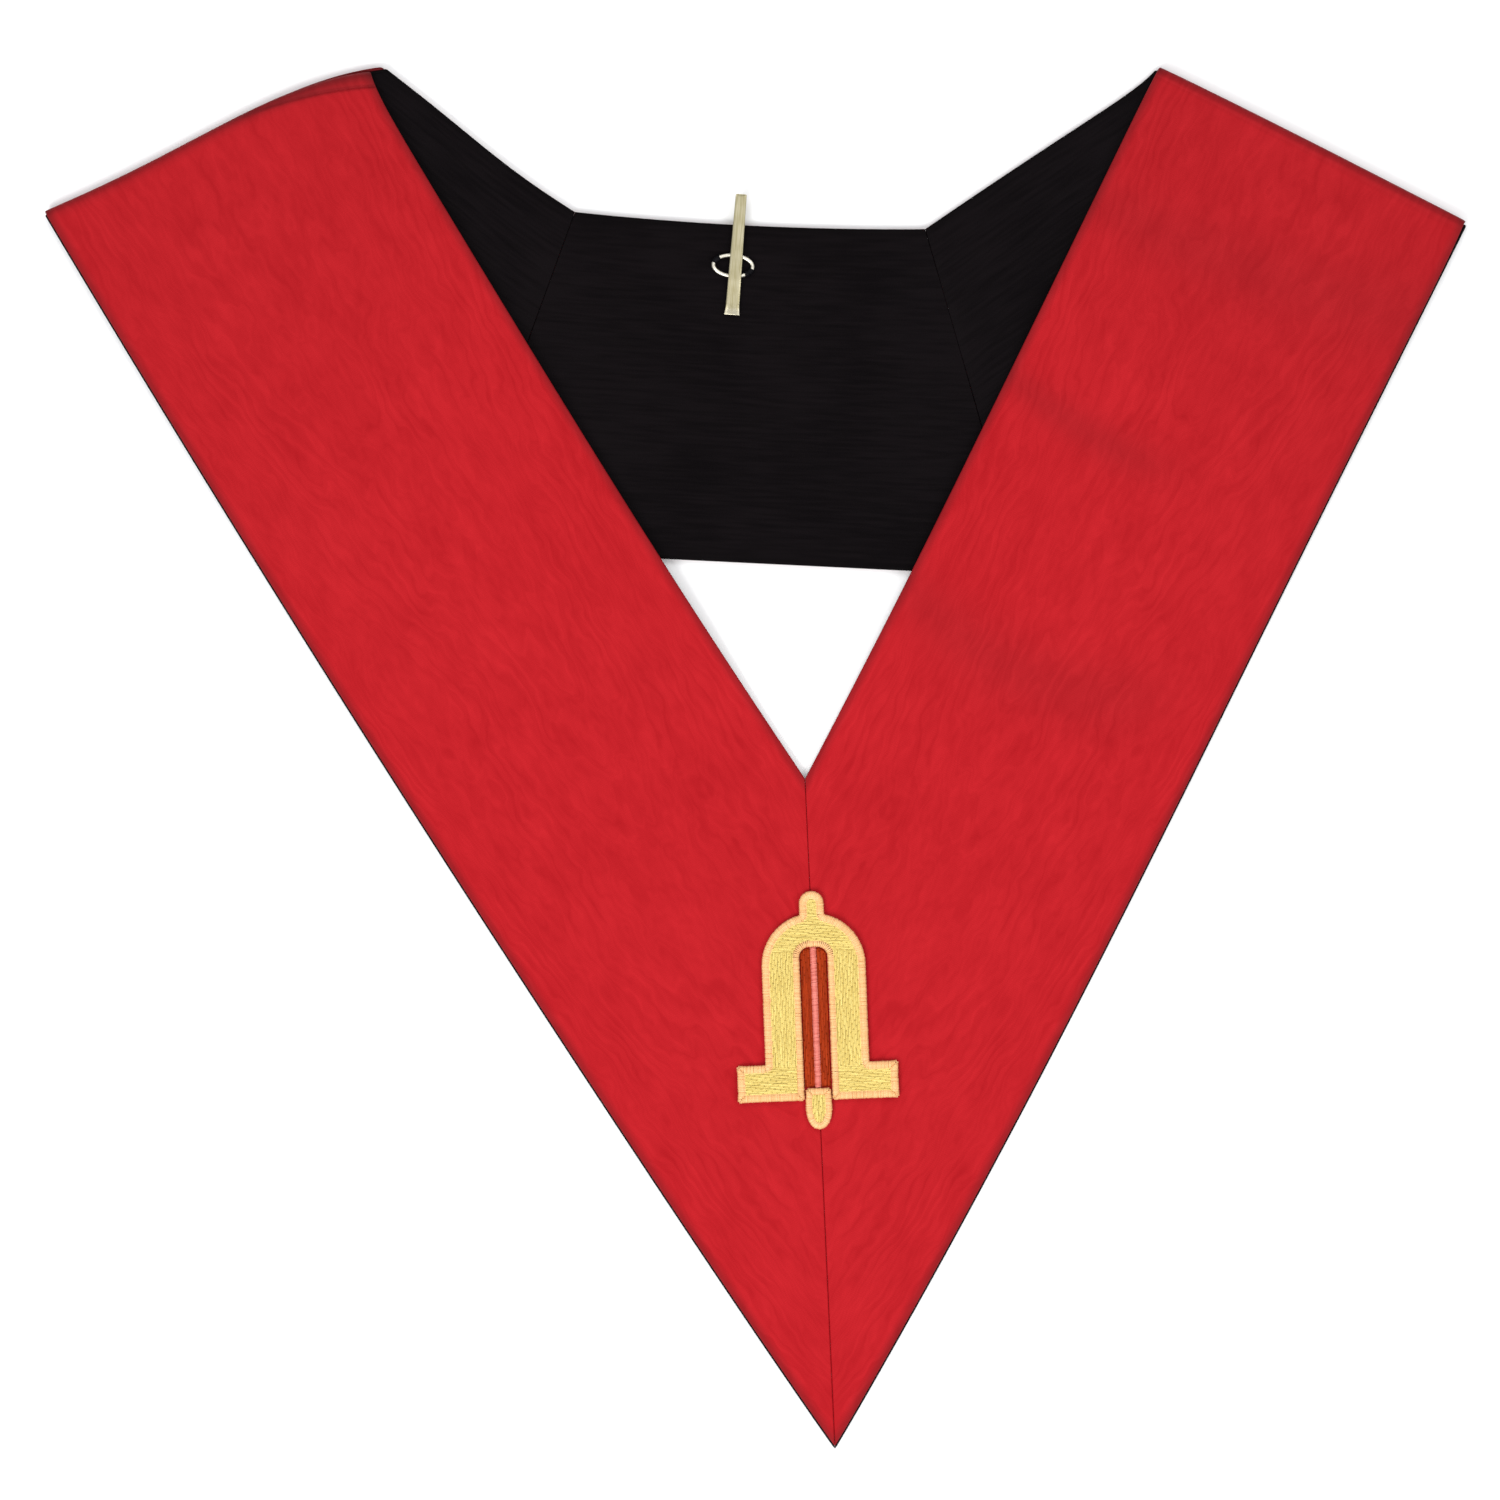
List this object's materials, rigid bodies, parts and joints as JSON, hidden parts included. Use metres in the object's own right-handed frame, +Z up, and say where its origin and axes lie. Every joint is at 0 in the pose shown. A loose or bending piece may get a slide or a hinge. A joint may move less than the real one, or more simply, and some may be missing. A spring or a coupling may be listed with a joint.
{
  "type": "regalia collar",
  "caption": "V-shaped ribbon regalia collar laid flat, lined, with an embroidered plumb emblem at the front and a metal clip at the neck.",
  "frame": {"origin": "middle of the outline of the laid collar, on the surface it lies on", "axes": "+Z up from the surface, +Y from the point of the V towards the neck edge, +X to the right seen from above"},
  "size_m": [0.4238, 0.412, 0.006],
  "materials": {
    "red_moire": "watered red moire ribbon with fine ribs across its length and a soft sheen",
    "black_lining": "black lining cloth, dull, with soft creases",
    "gold_thread": "raised embroidery in gold thread with a satin border",
    "russet_thread": "flat satin stitch in russet thread",
    "rose_thread": "rounded stitched line in rose thread",
    "gilt_brass": "pale gilt brass, polished, lightly worn"
  },
  "bodies": {
    "root": {"neck_band_face": "red_moire", "neck_band_lining": "black_lining", "shoulder_left_face": "red_moire", "shoulder_left_lining": "black_lining", "shoulder_right_face": "red_moire", "shoulder_right_lining": "black_lining", "limb_left_face": "red_moire", "limb_left_lining": "black_lining", "limb_right_face": "red_moire", "limb_right_lining": "black_lining", "emblem_arch": "gold_thread", "plumb_bob": "gold_thread", "slot_fill": "russet_thread", "plumb_line": "rose_thread", "neck_clip": "gilt_brass"}
  },
  "joints": []
}
